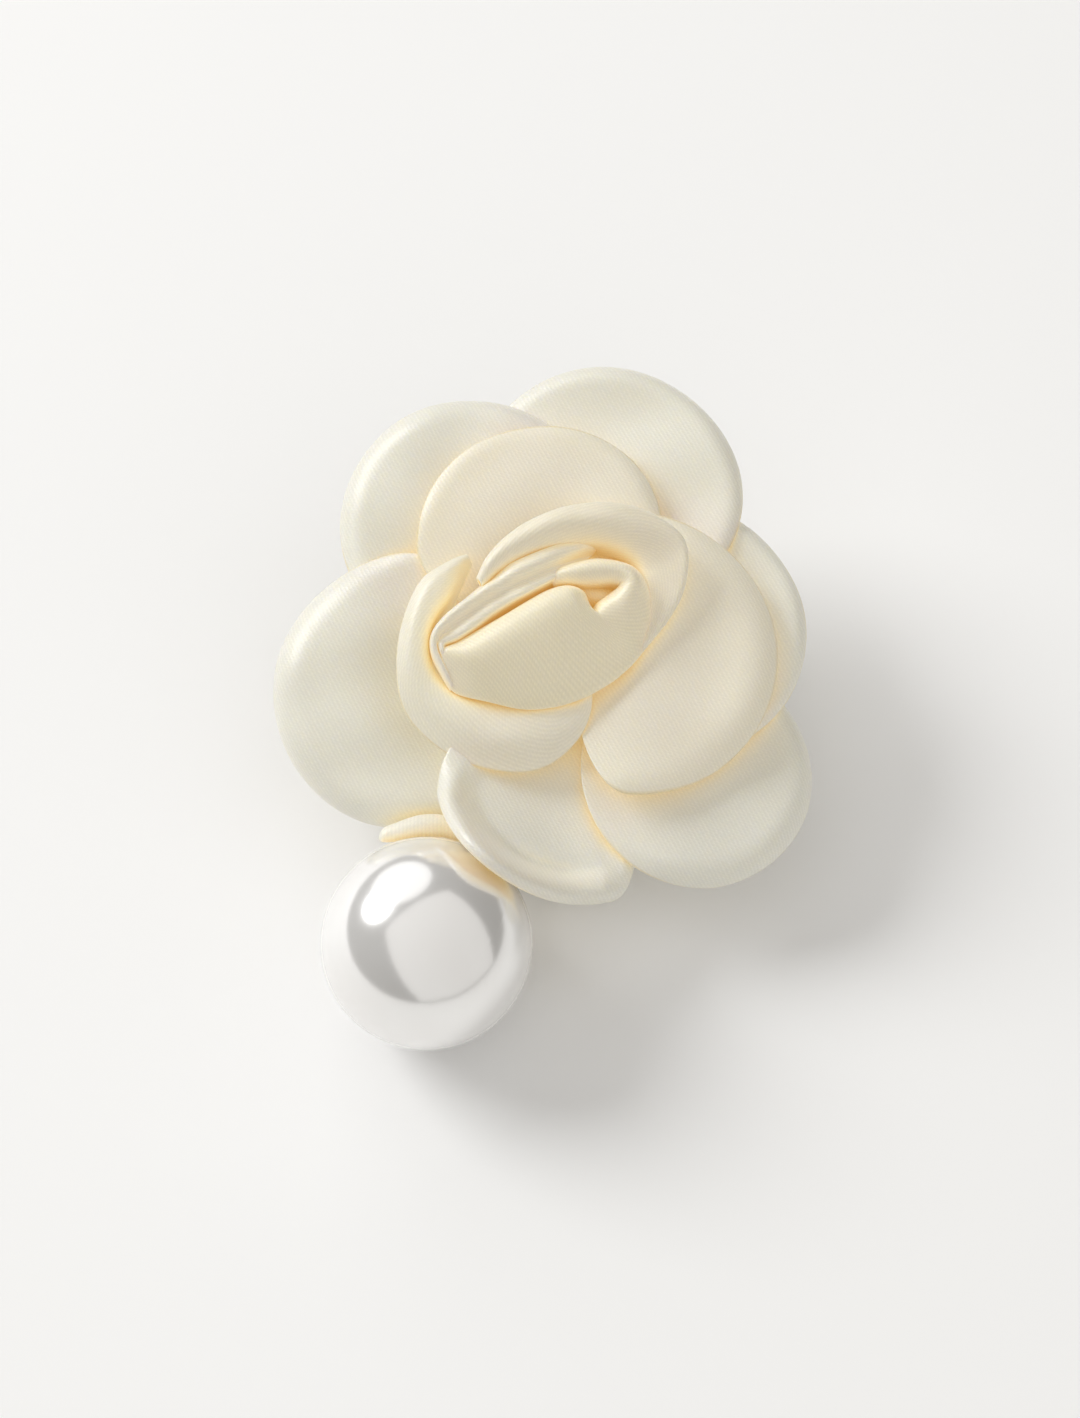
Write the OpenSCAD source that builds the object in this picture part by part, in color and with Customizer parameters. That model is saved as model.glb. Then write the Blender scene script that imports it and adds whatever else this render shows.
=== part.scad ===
// Flower hair clip: a satin rose on a spring clip, with a pearl drop.
// Frame: the clip lies on the XY plane with Z up. The origin is under the
// middle of the flower, on the flat underside of the bottom arm.
// The nose of the clip points along -Y and the thumb tabs along +Y.

/* [Spring clip] */
// Distance from the origin to the nose of the clip
nose_reach = 14; // [12:0.5:16]
// Distance from the origin to the end of the bottom thumb tab
tail_reach = 19; // [16:0.5:21]
// Width of the arms behind the jaw
arm_width = 8; // [7:0.5:10]
// Width of the rounded nose of both arms
nose_width = 3.6; // [3:0.2:6]
// Thickness of the sheet steel
steel = 0.8; // [0.6:0.1:1]
// Angle between the closed arms in degrees
wedge = 17; // [12:1:20]
// Distance from the origin to the hinge pin along the clip
hinge_y = 6; // [4:0.5:8]
// Height of the hinge pin above the underside
hinge_z = 3.8; // [3.4:0.1:4.5]
// Diameter of the hinge pin
pin_diameter = 1.6; // [1.2:0.1:2]
// Diameter of the spring wire
spring_wire = 0.6; // [0.4:0.1:0.8]
// Number of turns in the torsion spring
spring_turns = 5; // [3:1:6]

/* [Flower base] */
// Height of the top of the base plate above the origin
flower_height = 7.8; // [7:0.1:9]
// Diameter of the stamped base plate
plate_diameter = 16; // [12:1:20]
// Thickness of the base plate
plate_thickness = 0.5; // [0.4:0.1:0.8]
// Thickness of the felt glued between plate and clip
felt_thickness = 1; // [0.6:0.1:1.5]
// Diameter of the felt disc
felt_diameter = 17; // [12:1:20]

/* [Petals] */
// Thickness of a stiffened satin petal
petal_thickness = 0.35; // [0.2:0.05:0.5]
// Radius of the stitched stem the petals grow from
stem_radius = 2.2; // [1.5:0.1:3]
// Height lost by an outer petal for each radian around the flower
spiral = 1.4; // [1:0.1:2]

/* [Pearl drop] */
// Diameter of the faux pearl
pearl_diameter = 15.3; // [12:0.1:18]
// Centre of the pearl at rest, seen from above
pearl_place = [-8, -22.4]; // [-30:0.1:30]
// Outside diameter of the jump ring
ring_diameter = 4.4; // [4:0.1:6]
// Wire diameter of the jump ring
ring_wire = 0.6; // [0.5:0.1:0.9]

/* [Hidden] */
$fn = 64;

running_fit = 0.05;
sheet_gap = 0.02;
stem_height = 6.85;
ear_radius = 2.4;
ear_gap = 0.4;
ear_thickness = 0.6;
jaw_start = -2;
tooth_pitch = 1;
tooth_depth = 0.5;
tooth_count = 8;
jaw_gap = 0.35;

arm_top = -plate_thickness - felt_thickness;
arm_bottom = arm_top - steel;
pin_radius = pin_diameter / 2;
top_ear_x = arm_width / 2;
bottom_ear_x = top_ear_x - ear_thickness - ear_gap;

coil_radius = 1.5;
leg_reach = 6.5;

loop_place = [-3.2, -9.5];
loop_hole = 0.9;
loop_rim = 1.8;
plate_middle = -plate_thickness / 2;
ring_radius = (ring_diameter - ring_wire) / 2;
eye_diameter = 2.6;
eye_wire = 0.5;
peg_radius = 0.4;
peg_depth = 5;

pearl_radius = pearl_diameter / 2;
pearl_centre = [pearl_place[0], pearl_place[1], pearl_radius];
loop_centre = [loop_place[0],
               loop_place[1] * cos(wedge) - plate_middle * sin(wedge),
               flower_height + loop_place[1] * sin(wedge) + plate_middle * cos(wedge)];
drop = pearl_centre - loop_centre;
drop_length = norm(drop);
drop_turn = atan2(drop[1], drop[0]);
drop_pitch = asin(drop[2] / drop_length);

steel_colour = [0.78, 0.78, 0.8];
satin_colour = [0.96, 0.93, 0.84];
pearl_colour = [0.97, 0.96, 0.94];

// Height of the closed top arm's underside above the bottom of the clip.
function underside(y) = flower_height + arm_bottom / cos(wedge) + y * tan(wedge);

// Place along the tilted top arm that stands above y on the bottom arm.
function along_top_arm(y) = y / cos(wedge) + arm_bottom * tan(wedge);

// Moves children into the tilted frame of the flower.
module on_flower() {
    translate([0, 0, flower_height])
        rotate([wedge, 0, 0])
            children();
}

// Stands a side profile, drawn as (y, z), up at x with the given thickness.
module side_plate(x, thickness) {
    translate([x - thickness / 2, 0, 0])
        rotate([90, 0, 90])
            linear_extrude(thickness)
                children();
}

// Plan outline shared by both arms, with a rounded nose and tab.
module arm_outline(nose, tail, width) {
    hull() {
        translate([0, nose + nose_width / 2])
            circle(d = nose_width);
        translate([-width / 2, jaw_start])
            square([width, 1]);
    }
    hull() {
        translate([-width / 2, jaw_start])
            square([width, 1]);
        for (side = [-1, 1])
            translate([side * (width / 2 - 2), tail - 2])
                circle(r = 2);
    }
}

// ---------- clip ----------

// Row of teeth along one side of the jaw.
module jaw_teeth() {
    first = jaw_start - 1;
    last = first - tooth_count * tooth_pitch;
    teeth = [for (i = [0 : tooth_count - 1])
        let (y = last + i * tooth_pitch)
        each [[y, underside(y) - jaw_gap - tooth_depth],
              [y + tooth_pitch / 2, underside(y + tooth_pitch / 2) - jaw_gap]]];
    polygon(concat([[first, steel / 2], [last, steel / 2]], teeth,
                   [[first, underside(first) - jaw_gap - tooth_depth]]));
}

module clip_bottom_arm() {
    color(steel_colour) {
        linear_extrude(steel)
            arm_outline(-nose_reach, tail_reach, arm_width);
        for (side = [-1, 1]) {
            side_plate(side * (bottom_ear_x - ear_thickness / 2), ear_thickness)
                difference() {
                    hull() {
                        translate([hinge_y, hinge_z])
                            circle(r = ear_radius);
                        translate([hinge_y - 3, steel / 2])
                            square([6, 0.2]);
                    }
                    translate([hinge_y, hinge_z])
                        circle(r = pin_radius + sheet_gap);
                }
            side_plate(side * 1.1, ear_thickness)
                jaw_teeth();
        }
    }
}

module clip_top_arm() {
    color(steel_colour) {
        on_flower()
            translate([0, 0, arm_bottom])
                linear_extrude(steel)
                    arm_outline(along_top_arm(-nose_reach),
                                along_top_arm(tail_reach - 1), arm_width);
        for (side = [-1, 1])
            side_plate(side * (top_ear_x - ear_thickness / 2), ear_thickness)
                difference() {
                    hull() {
                        translate([hinge_y, hinge_z])
                            circle(r = ear_radius + 0.2);
                        for (y = [hinge_y - 4, hinge_y + 4])
                            translate([y, underside(y) + steel / 4])
                                circle(r = 0.2);
                    }
                    translate([hinge_y, hinge_z])
                        circle(r = pin_radius + running_fit);
                }
    }
}

module hinge_pin() {
    head = 0.5;
    length = 2 * top_ear_x + 0.4;
    color(steel_colour)
        translate([0, hinge_y, hinge_z])
            rotate([0, 90, 0]) {
                cylinder(r = pin_radius, h = length, center = true);
                for (side = [-1, 1])
                    translate([0, 0, side * (length + head) / 2])
                        cylinder(r = pin_radius + 0.5, h = head, center = true);
            }
}

// Straight leg of the spring from the coil to a resting point on an arm.
module spring_leg(x, start, finish) {
    run = finish - start;
    translate([x, start[0], start[1]])
        rotate([atan2(run[1], run[0]), 0, 0])
            rotate([-90, 0, 0])
                cylinder(d = spring_wire, h = norm(run));
}

module torsion_spring() {
    pitch = spring_wire * 0.94;
    half = pitch * (spring_turns - 1) / 2;
    top_rest = [hinge_y + leg_reach, underside(hinge_y + leg_reach) - spring_wire / 2 - 0.1];
    bottom_rest = [hinge_y + leg_reach, steel + spring_wire / 2 + 0.05];
    color(steel_colour) {
        translate([0, hinge_y, hinge_z])
            rotate([0, 90, 0])
                for (i = [0 : spring_turns - 1])
                    translate([0, 0, i * pitch - half])
                        rotate_extrude()
                            translate([coil_radius, 0])
                                circle(d = spring_wire);
        spring_leg(half, [hinge_y, hinge_z + coil_radius], top_rest);
        spring_leg(-half, [hinge_y, hinge_z - coil_radius], bottom_rest);
    }
}

// ---------- flower base ----------

module felt_backing() {
    color(satin_colour)
        on_flower()
            translate([0, 0, arm_top + sheet_gap])
                cylinder(d = felt_diameter, h = felt_thickness - 2 * sheet_gap);
}

module base_plate() {
    color(steel_colour)
        on_flower()
            translate([0, 0, -plate_thickness])
                linear_extrude(plate_thickness)
                    difference() {
                        union() {
                            circle(d = plate_diameter);
                            hull() {
                                translate(loop_place)
                                    circle(r = loop_rim);
                                translate(loop_place * 0.6)
                                    circle(r = loop_rim);
                            }
                        }
                        translate(loop_place)
                            circle(r = loop_hole);
                    }
}

module flower_stem() {
    color(satin_colour)
        on_flower()
            translate([0, 0, sheet_gap])
                cylinder(r = stem_radius, h = stem_height);
}

// ---------- petals ----------

// Rings and spokes in the grid of a petal, and spokes of a wrap.
rings = 8;
spokes = 36;
root_radius = stem_radius + 0.3;

// How a petal layer leaves the stem: height there, how far it then rises, and
// its slope further out. It rises within about bowl_length.
outer_bowl = [1.8, 3.2, -0.01];
middle_bowl = [3.8, 4.2, -0.03];
bowl_length = 4.2;

// Height of a petal above the base plate. The petal stretches from the stem
// along the direction of its own centre; a and b are measured from that
// centre, out along the petal and across it.
function petal_height(a, b, edge, reach, bowl, lift, turn, twist) =
    let (from_axis = norm([reach + a, b]),
         run = from_axis - root_radius)
    bowl[0] + lift + bowl[1] * (1 - exp(-run / bowl_length)) + bowl[2] * run
        - turn * atan2(b, reach + a) * PI / 180
        - twist * b * pow(max(from_axis - 6, 0) / 10, 2)
        - 0.7 * pow(edge, 8);

// One point of the petal grid, below its top face by the given amount.
function petal_point(ring, spoke, reach, size, right, bowl, lift, turn, twist, below) =
    let (edge = sqrt(ring / rings),
         angle = 360 * spoke / spokes,
         inward = min(reach - root_radius, size),
         a = edge * cos(angle) * (cos(angle) > 0 ? size : inward),
         b = edge * sin(angle) * (sin(angle) > 0 ? right : size))
    [reach + a, b,
     petal_height(a, b, edge, reach, bowl, lift, turn, twist) - below];

// Closed skin of a disc-shaped grid: top face, bottom face and rim wall.
function disc_faces() =
    let (layer = 1 + rings * spokes,
         at = function (ring, spoke) 1 + (ring - 1) * spokes + spoke % spokes)
    concat(
        [for (s = [0 : spokes - 1]) [0, at(1, s + 1), at(1, s)]],
        [for (s = [0 : spokes - 1]) [layer, layer + at(1, s), layer + at(1, s + 1)]],
        [for (r = [1 : rings - 1], s = [0 : spokes - 1]) each
            [[at(r, s), at(r, s + 1), at(r + 1, s)],
             [at(r + 1, s), at(r, s + 1), at(r + 1, s + 1)],
             [layer + at(r, s + 1), layer + at(r, s), layer + at(r + 1, s)],
             [layer + at(r, s + 1), layer + at(r + 1, s), layer + at(r + 1, s + 1)]]],
        [for (s = [0 : spokes - 1]) each
            [[at(rings, s), at(rings, s + 1), layer + at(rings, s)],
             [layer + at(rings, s), at(rings, s + 1), layer + at(rings, s + 1)]]]);

// A petal centred on a place in the flower's plane.
module petal(place, size, right = 0, bowl = outer_bowl, lift = 0, turn = spiral, twist = 0) {
    reach = norm(place);
    across = right > 0 ? right : size;
    layer = function (below)
        concat([petal_point(0, 0, reach, size, across, bowl, lift, turn, twist, below)],
               [for (r = [1 : rings], s = [0 : spokes - 1])
                   petal_point(r, s, reach, size, across, bowl, lift, turn, twist, below)]);
    color(satin_colour)
        on_flower()
            rotate([0, 0, atan2(place[1], place[0])])
                polyhedron(concat(layer(0), layer(petal_thickness)), disc_faces());
}

// Closed skin of a rectangular grid of rows and columns.
function sheet_faces(rows, columns) =
    let (layer = (rows + 1) * (columns + 1),
         at = function (row, column) row * (columns + 1) + column,
         far = rows,
         last = columns)
    concat(
        [for (r = [0 : rows - 1], c = [0 : columns - 1]) each
            [[at(r, c), at(r, c + 1), at(r + 1, c)],
             [at(r + 1, c), at(r, c + 1), at(r + 1, c + 1)],
             [layer + at(r, c + 1), layer + at(r, c), layer + at(r + 1, c)],
             [layer + at(r, c + 1), layer + at(r + 1, c), layer + at(r + 1, c + 1)]]],
        [for (c = [0 : columns - 1]) each
            [[at(far, c), at(far, c + 1), layer + at(far, c)],
             [layer + at(far, c), at(far, c + 1), layer + at(far, c + 1)],
             [at(0, c + 1), at(0, c), layer + at(0, c)],
             [at(0, c + 1), layer + at(0, c), layer + at(0, c + 1)]]],
        [for (r = [0 : rows - 1]) each
            [[at(r, 0), at(r + 1, 0), layer + at(r, 0)],
             [layer + at(r, 0), at(r + 1, 0), layer + at(r + 1, 0)],
             [at(r + 1, last), at(r, last), layer + at(r, last)],
             [at(r + 1, last), layer + at(r, last), layer + at(r + 1, last)]]]);

// Part of a bowl that wraps round the middle of the flower. It is an ellipse
// turned by `turn`, open between `to` and `from`, and `steep` bends its wall.
module wrap(place, radii, turn, from, to, bottom, top, inner = 0.35, steep = 1.6) {
    rows = 8;
    columns = 30;
    point = function (row, column, shrink)
        let (rise = row / rows,
             angle = from + (to - from) * column / columns,
             spread = inner + (1 - inner) * sin(90 * rise))
        [(radii[0] - shrink) * spread * cos(angle),
         (radii[1] - shrink) * spread * sin(angle),
         bottom + (top - bottom) * pow(rise, steep) + shrink / 2];
    layer = function (shrink)
        [for (r = [0 : rows], c = [0 : columns]) point(r, c, shrink)];
    color(satin_colour)
        on_flower()
            translate(place)
                rotate([0, 0, turn])
                    polyhedron(concat(layer(petal_thickness), layer(0)),
                               sheet_faces(rows, columns));
}

module outer_petal_1() { petal([5.1, 12.9], 10.1, lift = 0.5); }
module outer_petal_2() { petal([-5.1, 10.6], 9.8, lift = 0.5); }
module outer_petal_3() { petal([-9.5, -2.1], 10.2); }
module outer_petal_4() { petal([2.4, -8.6], 10, right = 4, lift = 0.6, twist = 0.8); }
module outer_petal_5() { petal([11.6, -8.5], 8.6, lift = 0.8); }
module outer_petal_6() { petal([9.4, 2.2], 10.4, lift = 0.7); }

module middle_petal_1() { petal([0.2, 8], 9.3, bowl = middle_bowl, turn = 0); }
module middle_petal_2() {
    wrap([-2.3, -0.6], [8.3, 8.3], 0, 110, 312, bottom = 5.9, top = 8.6,
         inner = 0.33, steep = 1.2);
}
module middle_petal_3() { petal([7.1, -0.3], 10.5, bowl = middle_bowl, lift = 1.1, turn = 0); }

module inner_petal() {
    wrap([2.6, 2.8], [8.2, 7], 30, -45, 135, bottom = 8.3, top = 11, inner = 0.6);
}
module bud_outer_wrap() {
    wrap([1, 0.9], [7.4, 5.2], 28, -190, 60, bottom = 7, top = 11.4);
}
module bud_inner_wrap() {
    wrap([0.2, 1.9], [6.4, 3.6], 28, 15, 175, bottom = 7.6, top = 11.8);
}
module bud_core() {
    color(satin_colour)
        on_flower()
            translate([-0.2, 1, 10])
                rotate([0, 0, 28])
                    scale([5, 2, 2.2])
                        sphere(r = 1, $fn = 40);
}

// ---------- pearl drop ----------

// Moves children to the line from the loop to the pearl, which becomes +X.
module on_drop() {
    translate(loop_centre)
        rotate([0, -drop_pitch, drop_turn])
            children();
}

module jump_ring() {
    color(steel_colour)
        on_drop()
            translate([ring_radius, 0, 0])
                rotate([90, 0, 0])
                    rotate_extrude()
                        translate([ring_radius, 0])
                            circle(d = ring_wire);
}

module pearl_peg() {
    start = 2 * ring_radius + (eye_diameter - eye_wire) / 2;
    color(steel_colour)
        on_drop() {
            translate([2 * ring_radius, 0, 0])
                rotate_extrude()
                    translate([(eye_diameter - eye_wire) / 2, 0])
                        circle(d = eye_wire);
            translate([start, 0, 0])
                rotate([0, 90, 0])
                    cylinder(r = peg_radius,
                             h = drop_length - pearl_radius + peg_depth - start);
        }
}

module pearl() {
    hole = peg_radius + sheet_gap;
    color(pearl_colour)
        difference() {
            translate(pearl_centre)
                sphere(r = pearl_radius, $fn = 96);
            on_drop()
                translate([drop_length - pearl_radius - 1, 0, 0])
                    rotate([0, 90, 0])
                        cylinder(r = hole, h = peg_depth + 1.5);
        }
}

clip_bottom_arm();
hinge_pin();
torsion_spring();
clip_top_arm();
felt_backing();
base_plate();
flower_stem();
outer_petal_1();
outer_petal_2();
outer_petal_3();
outer_petal_4();
outer_petal_5();
outer_petal_6();
middle_petal_1();
middle_petal_2();
middle_petal_3();
inner_petal();
bud_outer_wrap();
bud_inner_wrap();
bud_core();
jump_ring();
pearl_peg();
pearl();
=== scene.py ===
"""Flower hair clip: satin petals, a rolled bud and a pearl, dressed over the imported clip."""

from math import cos, pi, radians, sin

import bpy
import numpy as np
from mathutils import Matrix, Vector


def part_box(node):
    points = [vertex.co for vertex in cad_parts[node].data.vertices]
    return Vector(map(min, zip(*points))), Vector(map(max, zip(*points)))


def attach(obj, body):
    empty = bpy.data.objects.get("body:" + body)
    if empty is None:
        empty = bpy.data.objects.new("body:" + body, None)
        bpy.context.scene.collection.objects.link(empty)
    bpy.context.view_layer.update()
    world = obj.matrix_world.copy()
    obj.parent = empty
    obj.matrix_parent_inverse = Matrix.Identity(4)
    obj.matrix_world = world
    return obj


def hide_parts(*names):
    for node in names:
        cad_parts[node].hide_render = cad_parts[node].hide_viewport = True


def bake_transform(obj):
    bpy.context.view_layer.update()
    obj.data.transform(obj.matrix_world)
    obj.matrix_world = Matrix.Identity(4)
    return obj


MM = 0.001

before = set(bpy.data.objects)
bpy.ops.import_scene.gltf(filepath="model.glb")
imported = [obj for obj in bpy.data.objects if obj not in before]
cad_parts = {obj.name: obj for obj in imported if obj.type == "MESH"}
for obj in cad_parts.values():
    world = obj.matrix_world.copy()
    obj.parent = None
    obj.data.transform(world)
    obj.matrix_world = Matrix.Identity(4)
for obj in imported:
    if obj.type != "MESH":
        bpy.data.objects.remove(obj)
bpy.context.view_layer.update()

# The flower's own frame: millimetres, with z along the axis of the rose. It
# stands on the base plate, which the closed clip tilts towards its nose.
WEDGE = radians(17)
FLOWER_HEIGHT = 7.8
ROOT_RADIUS = 2.5
SATIN_THICKNESS = 0.24

# Satin in the open, and the warmer colour painted on pieces deep in the flower, standing for light
# bounced between the petals.
OPEN_SATIN = (0.76, 0.745, 0.675)
BOUNCE_WARMED_SATIN = (0.85, 0.78, 0.59)
TWILL_PITCH = 0.28
TWILL_HEADING = radians(28)


def from_flower(points):
    """Points of the flower's frame, in millimetres, as row-frame metres."""
    x, y, z = np.moveaxis(np.asarray(points, float), -1, 0)
    return MM * np.stack([
        x,
        y * cos(WEDGE) - z * sin(WEDGE),
        FLOWER_HEIGHT + y * sin(WEDGE) + z * cos(WEDGE),
    ], axis=-1)


def smooth(value):
    """Eases from 0 to 1 as value goes from 0 to 1."""
    value = np.clip(value, 0, 1)
    return value * value * (3 - 2 * value)


def ripple(x, y, seed, scale):
    """Slow, uneven waves between about -1 and 1, the same on every run."""
    random = np.random.default_rng(seed)
    total = np.zeros_like(np.asarray(x, float))
    for _ in range(5):
        angle = random.uniform(0, 2 * pi)
        pitch = scale * random.uniform(0.7, 1.5)
        phase = random.uniform(0, 2 * pi)
        total = total + np.sin(2 * pi * (x * cos(angle) + y * sin(angle)) / pitch + phase)
    return total / 3


# ---------- mesh helpers ----------

def grid_mesh(name, points, flat, edge=None):
    """A mesh of quads over a grid of points, with the flat cloth as its UV map.

    points is rows x columns x 3 in row-frame metres. flat is rows x columns x 2
    in millimetres. edge is rows x columns, 1 on the cut edge of the cloth.
    """
    rows, columns = points.shape[:2]
    index = np.arange(rows * columns).reshape(rows, columns)
    quads = np.stack([index[:-1, :-1], index[:-1, 1:], index[1:, 1:], index[1:, :-1]], -1)
    mesh = bpy.data.meshes.new(name)
    mesh.from_pydata(points.reshape(-1, 3).tolist(), [], quads.reshape(-1, 4).tolist())
    corners = np.array([loop.vertex_index for loop in mesh.loops])
    layer = mesh.uv_layers.new(name="cloth")
    layer.data.foreach_set("uv", flat.reshape(-1, 2)[corners].astype(np.float32).ravel())
    amount = np.zeros(rows * columns) if edge is None else edge.reshape(-1)
    attribute = mesh.attributes.new("cut_edge", "FLOAT", "POINT")
    attribute.data.foreach_set("value", amount.astype(np.float32))
    mesh.polygons.foreach_set("use_smooth", [True] * len(mesh.polygons))
    mesh.update()
    piece = bpy.data.objects.new(name, mesh)
    bpy.context.scene.collection.objects.link(piece)
    return piece


def thicken(piece, thickness, levels=1):
    """Gives cloth its thickness and rounds it with one subdivision."""
    solid = piece.modifiers.new("thickness", "SOLIDIFY")
    solid.thickness = thickness * MM
    solid.offset = 0
    solid.use_even_offset = False
    rounding = piece.modifiers.new("rounding", "SUBSURF")
    rounding.levels = levels
    rounding.render_levels = levels


def spline(values, count):
    """Resamples rows of values along a Catmull-Rom curve, evenly by length."""
    values = np.asarray(values, float)
    padded = np.concatenate([2 * values[:1] - values[1:2], values, 2 * values[-1:] - values[-2:-1]])
    segments = len(values) - 1

    def at(position):
        start = np.minimum(position.astype(int), segments - 1)
        part = (position - start).reshape((-1,) + (1,) * (values.ndim - 1))
        p0, p1, p2, p3 = (padded[start + k] for k in range(4))
        return 0.5 * (2 * p1 + (p2 - p0) * part
                      + (2 * p0 - 5 * p1 + 4 * p2 - p3) * part ** 2
                      + (3 * p1 - p0 - 3 * p2 + p3) * part ** 3)

    fine = np.linspace(0, segments, 20 * segments + 1)
    curve = at(fine)
    steps = np.linalg.norm(np.diff(curve, axis=0).reshape(len(fine) - 1, -1), axis=1)
    length = np.concatenate([[0], np.cumsum(steps)])
    return at(np.interp(np.linspace(0, length[-1], count), length, fine))


def loft(stations, along, across):
    """A grid through stations, each a short list of (x, y, z) points."""
    sections = np.array([spline(station, across) for station in stations])
    return spline(sections, along)


def cloth_size(points):
    """UV coordinates of a lofted grid: running lengths along and across it."""
    middle_row = points[:, points.shape[1] // 2]
    steps = np.linalg.norm(np.diff(middle_row, axis=0), axis=1)
    along = np.concatenate([[0], np.cumsum(steps)])
    section = points[points.shape[0] // 2]
    steps = np.linalg.norm(np.diff(section, axis=0), axis=1)
    across = np.concatenate([[0], np.cumsum(steps)])
    return np.stack(np.meshgrid(along, across, indexing="ij"), -1)


# ---------- materials ----------

def new_material(name):
    """A new material, its nodes (a Principled shader to begin with) and its links."""
    material = bpy.data.materials.new(name)
    material.use_nodes = True
    return material, material.node_tree.nodes, material.node_tree.links


def mixed(first, second, share):
    """A colour the given share of the way from first to second."""
    return tuple(one + (two - one) * share for one, two in zip(first, second))


def noise(nodes, links, vector, scale, detail):
    """The value of a noise texture over the points that vector gives."""
    texture = nodes.new("ShaderNodeTexNoise")
    texture.inputs["Scale"].default_value = scale
    texture.inputs["Detail"].default_value = detail
    links.new(vector, texture.inputs["Vector"])
    return texture.outputs["Fac"]


def colour_ramp(nodes, links, value, stops):
    """A colour that follows value through stops, each a position and a colour."""
    ramp = nodes.new("ShaderNodeValToRGB")
    elements = ramp.color_ramp.elements
    while len(elements) < len(stops):
        elements.new(0.5)
    for element, (position, colour) in zip(elements, stops):
        element.position = position
        element.color = (*colour, 1)
    links.new(value, ramp.inputs["Fac"])
    return ramp


def relief(nodes, links, height, strength, depth):
    """Raises the shader's surface by a pattern of height, depth in metres."""
    bump = nodes.new("ShaderNodeBump")
    bump.inputs["Strength"].default_value = strength
    bump.inputs["Distance"].default_value = depth
    links.new(height, bump.inputs["Height"])
    links.new(bump.outputs["Normal"], nodes["Principled BSDF"].inputs["Normal"])


def satin_threads(nodes, links, angle):
    """The height of the weave: twill lines, floats across them and uneven slubs."""
    cloth = nodes.new("ShaderNodeUVMap")
    cloth.uv_map = "cloth"
    turn = nodes.new("ShaderNodeMapping")
    turn.inputs["Rotation"].default_value = (0, 0, angle)
    links.new(cloth.outputs["UV"], turn.inputs["Vector"])

    twill = nodes.new("ShaderNodeTexWave")
    twill.wave_type = "BANDS"
    twill.bands_direction = "X"
    twill.inputs["Scale"].default_value = 0.1 * pi / TWILL_PITCH
    twill.inputs["Distortion"].default_value = 0.8
    twill.inputs["Detail"].default_value = 1
    twill.inputs["Detail Scale"].default_value = 3
    links.new(turn.outputs["Vector"], twill.inputs["Vector"])
    floats = nodes.new("ShaderNodeTexWave")
    floats.wave_type = "BANDS"
    floats.bands_direction = "DIAGONAL"
    floats.inputs["Scale"].default_value = 0.2 * pi / TWILL_PITCH
    floats.inputs["Distortion"].default_value = 1.5
    links.new(turn.outputs["Vector"], floats.inputs["Vector"])
    weave = nodes.new("ShaderNodeMath")
    weave.operation = "MULTIPLY_ADD"
    weave.inputs[1].default_value = 0.5
    links.new(floats.outputs["Fac"], weave.inputs[0])
    links.new(twill.outputs["Fac"], weave.inputs[2])

    slubs = nodes.new("ShaderNodeMapRange")
    slubs.inputs["From Min"].default_value = 0.3
    slubs.inputs["From Max"].default_value = 0.7
    slubs.inputs["To Min"].default_value = 0.2
    grain = noise(nodes, links, turn.outputs["Vector"], 1.4 / TWILL_PITCH, 3)
    links.new(grain, slubs.inputs["Value"])
    uneven = nodes.new("ShaderNodeMath")
    uneven.operation = "MULTIPLY"
    links.new(weave.outputs["Value"], uneven.inputs[0])
    links.new(slubs.outputs["Result"], uneven.inputs[1])
    return uneven.outputs["Value"]


def satin_colour(nodes, links, openness, threads, bounce_warmth):
    """The cloth's colour: painted golden shade in deep folds, browner on a cut edge, darker between
    threads.
    """
    # Painted shade and bounced light: the colour turns golden where the ambient occlusion finds
    # deep folds, and open cloth takes the satin colour with its painted warmer share.
    depth = colour_ramp(nodes, links, openness, [
        (0.0, (0.86, 0.62, 0.22)),
        (0.35, (0.88, 0.76, 0.50)),
        (0.75, mixed(OPEN_SATIN, BOUNCE_WARMED_SATIN, bounce_warmth)),
    ])
    depth.color_ramp.interpolation = "EASE"
    edge = nodes.new("ShaderNodeAttribute")
    edge.attribute_name = "cut_edge"
    sealed = nodes.new("ShaderNodeMix")
    sealed.data_type = "RGBA"
    sealed.inputs["B"].default_value = (0.72, 0.58, 0.34, 1)
    links.new(edge.outputs["Fac"], sealed.inputs["Factor"])
    links.new(depth.outputs["Color"], sealed.inputs["A"])
    shade = nodes.new("ShaderNodeMix")
    shade.data_type = "RGBA"
    shade.blend_type = "MULTIPLY"
    shade.inputs["Factor"].default_value = 0.1
    links.new(sealed.outputs["Result"], shade.inputs["A"])
    links.new(threads, shade.inputs["B"])
    return shade.outputs["Result"]


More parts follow.
